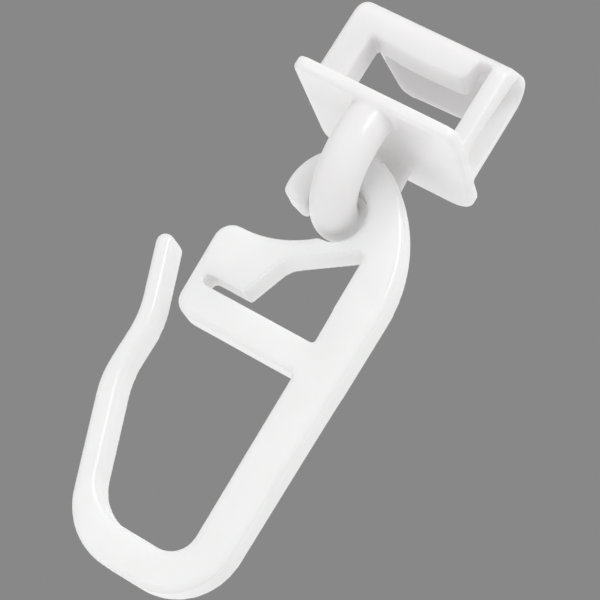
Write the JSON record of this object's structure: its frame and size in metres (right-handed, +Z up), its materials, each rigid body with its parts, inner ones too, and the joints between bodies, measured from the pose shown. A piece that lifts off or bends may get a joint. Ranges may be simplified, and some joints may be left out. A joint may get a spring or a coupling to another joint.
{
  "type": "curtain glider",
  "caption": "White plastic curtain-track glider: a hooded hollow head on a running plate, a ring below it, and a long clip-on pleat hook hanging from the ring.",
  "frame": {"origin": "on the underside of the running plate, at the middle of the ring, where the plate slides on the rail's lips", "axes": "+X across the rail towards the head's open end, +Y along the rail away from the picture's viewer, +Z up"},
  "size_m": [0.0174, 0.0138, 0.0449],
  "materials": {
    "glider_plastic": "white, slightly translucent moulded plastic with a soft gloss",
    "hook_plastic": "white, slightly translucent moulded plastic with a soft gloss"
  },
  "bodies": {
    "glider": {"glider": "glider_plastic"},
    "hook": {"hook": "hook_plastic"}
  },
  "joints": [
    {"name": "hook_swing", "type": "hinge", "parent": "glider", "child": "hook", "pos_m": [0, 0, -0.0067], "axis": [0, 1, 0], "range_deg": [-80, 85]}
  ]
}
